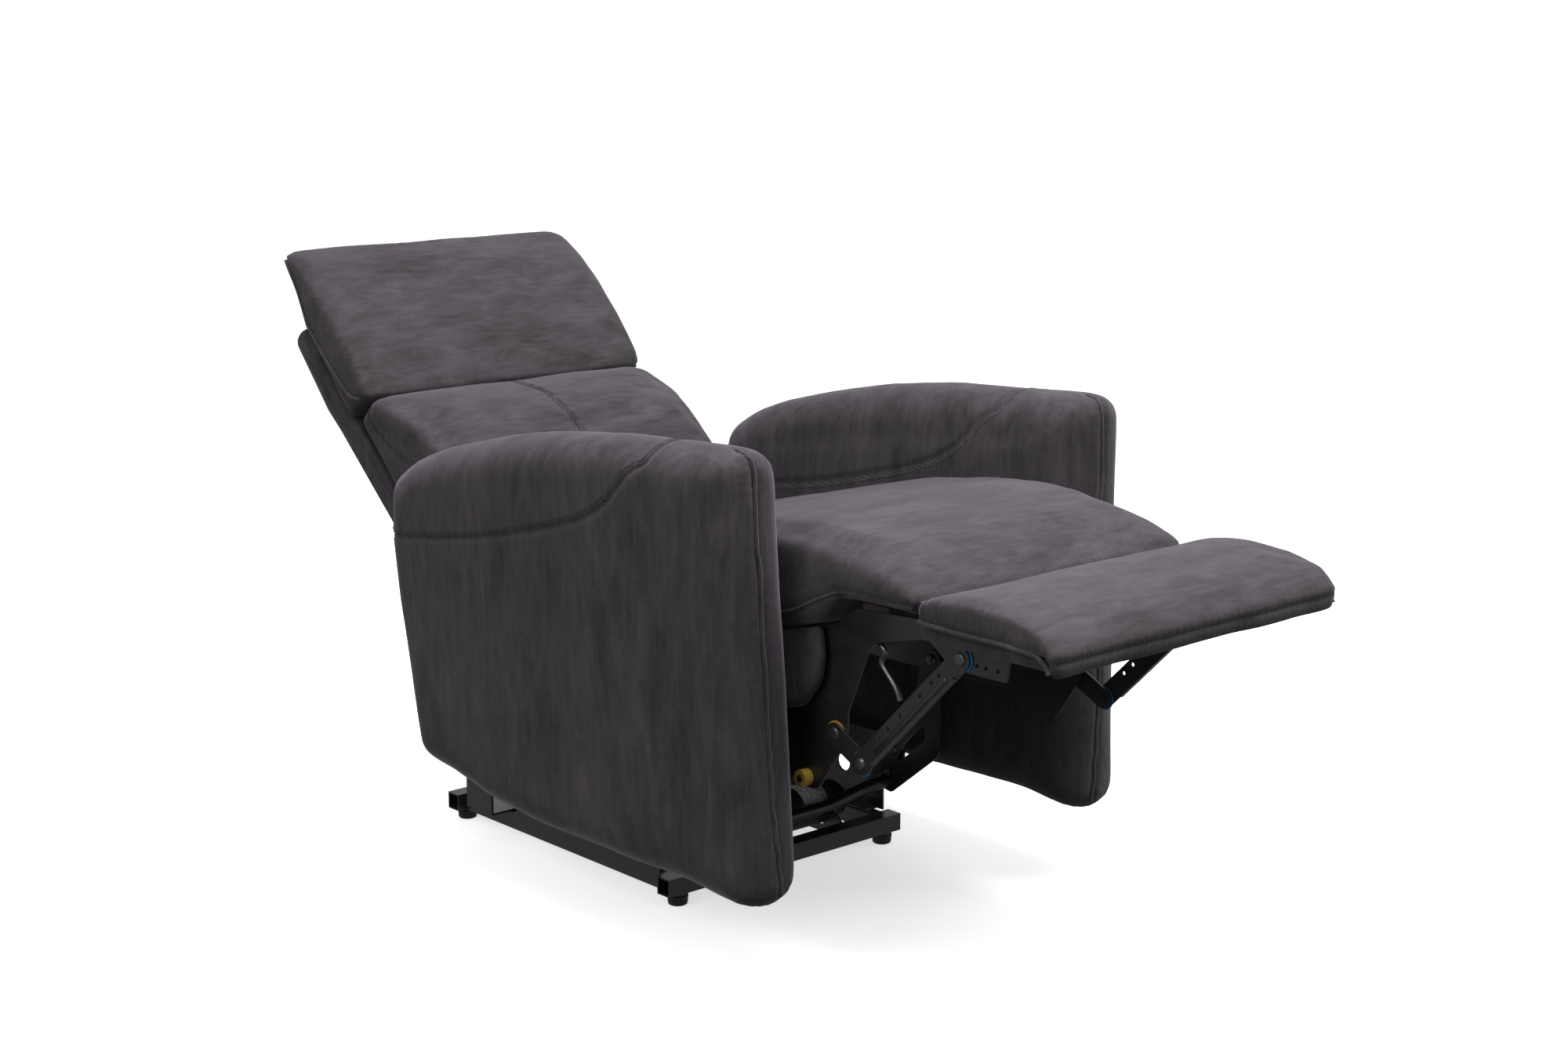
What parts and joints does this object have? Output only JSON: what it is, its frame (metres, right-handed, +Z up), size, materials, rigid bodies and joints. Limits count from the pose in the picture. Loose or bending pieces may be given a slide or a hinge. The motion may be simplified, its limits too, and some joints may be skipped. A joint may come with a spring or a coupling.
{
  "type": "recliner armchair",
  "caption": "Powered velvet recliner armchair, legrest out and back laid down, on a steel base with a gliding seat linkage.",
  "frame": {"origin": "floor level under the middle of the bounding box", "axes": "+Z up, the chair faces -Y, +X is the far arm and the left-right middle is x = 0"},
  "size_m": [0.7122, 1.5288, 0.7935],
  "materials": {
    "velvet": "dense short-pile velvet, charcoal",
    "black_steel": "semi-gloss black coat",
    "black_plastic": "moulded black",
    "blue_nylon": "moulded blue",
    "yellow_nylon": "moulded yellow",
    "wood": "bare plywood"
  },
  "bodies": {
    "base": {"arm_bracket_far": "black_steel", "arm_bracket_near": "black_steel", "arm_far": "velvet", "arm_near": "velvet", "base_plate_far": "black_steel", "base_plate_near": "black_steel", "foot_front_far": "black_plastic", "foot_front_near": "black_plastic", "foot_rear_far": "black_plastic", "foot_rear_near": "black_plastic", "front_bar": "black_steel", "gear_case": "black_plastic", "guide_rail": "black_steel", "motor": "black_plastic", "motor_saddle": "black_steel", "rear_bar": "black_steel", "side_rail_far": "black_steel", "side_rail_near": "black_steel"},
    "front_swing": {"front_swing_near": "black_steel", "front_swing_far": "black_steel", "drive_tube": "black_steel"},
    "rear_swing": {"rear_swing_near": "black_steel", "rear_swing_far": "black_steel", "rear_tube": "black_steel"},
    "slider": {"slider": "black_steel"},
    "seat": {"seat_rail_near": "black_steel", "seat_rail_far": "black_steel", "seat_plate_near": "black_steel", "seat_plate_far": "black_steel", "stop_roller_near": "yellow_nylon", "stop_roller_far": "yellow_nylon", "seat_cheek_near": "velvet", "seat_cheek_far": "velvet", "rear_washer_near": "yellow_nylon", "rear_washer_far": "yellow_nylon", "seat_cushion": "velvet", "seat_deck": "wood", "seat_front_rail": "wood", "seat_rear_rail": "black_steel"},
    "legrest": {"legrest_bracket_near": "black_steel", "legrest_bracket_far": "black_steel", "link_washer_near": "blue_nylon", "link_washer_far": "blue_nylon", "legrest_board": "velvet", "legrest_cushion": "velvet"},
    "ottoman_links": {"ottoman_link_near": "black_steel", "ottoman_link_far": "black_steel", "knee_washer_near": "blue_nylon", "knee_washer_far": "blue_nylon"},
    "knee_links": {"knee_link_near": "black_steel", "knee_link_far": "black_steel"},
    "back": {"back_upright_near": "black_steel", "back_upright_far": "black_steel", "back_bracket_near": "black_steel", "back_bracket_far": "black_steel", "back_shell": "velvet", "back_low_rail": "wood", "back_top_rail": "wood", "lumbar_cushion": "velvet", "headrest_cushion": "velvet"}
  },
  "joints": [
    {"name": "seat_glide", "type": "hinge", "parent": "base", "child": "front_swing", "pos_m": [0, -0.06825, 0.135], "axis": [1, 0, 0], "range_deg": [-54, 0]},
    {"name": "seat_level", "type": "hinge", "parent": "front_swing", "child": "seat", "pos_m": [0, -0.14089, 0.27756], "axis": [1, 0, 0], "range_deg": [-1, 55]},
    {"name": "rear_swing_turn", "type": "hinge", "parent": "base", "child": "rear_swing", "pos_m": [0, 0.22175, 0.135], "axis": [1, 0, 0], "range_deg": [-55, 1]},
    {"name": "slider_travel", "type": "slide", "parent": "base", "child": "slider", "axis": [0, 1, 0], "range_m": [-0.0509, 0.001]},
    {"name": "legrest_fold", "type": "hinge", "parent": "seat", "child": "legrest", "pos_m": [0, -0.54525, 0.466], "axis": [1, 0, 0], "range_deg": [-1, 89]},
    {"name": "link_top_turn", "type": "hinge", "parent": "legrest", "child": "ottoman_links", "pos_m": [0, -0.59525, 0.441], "axis": [1, 0, 0], "range_deg": [-89, 1]},
    {"name": "knee_turn", "type": "hinge", "parent": "seat", "child": "knee_links", "pos_m": [0, -0.38525, 0.308], "axis": [1, 0, 0], "range_deg": [-1, 89]},
    {"name": "back_recline", "type": "hinge", "parent": "seat", "child": "back", "pos_m": [0, 0.32675, 0.3], "axis": [1, 0, 0], "range_deg": [0, 30]}
  ],
  "couplings": [
    {"joint": "seat_level", "follows": "seat_glide", "ratio": -1},
    {"joint": "rear_swing_turn", "follows": "seat_glide", "ratio": 1},
    {"joint": "slider_travel", "follows": "seat_glide", "m_per_rad": 0.052987},
    {"joint": "legrest_fold", "follows": "seat_glide", "ratio": -1.6296},
    {"joint": "link_top_turn", "follows": "seat_glide", "ratio": 1.6296},
    {"joint": "knee_turn", "follows": "seat_glide", "ratio": -1.6296}
  ]
}
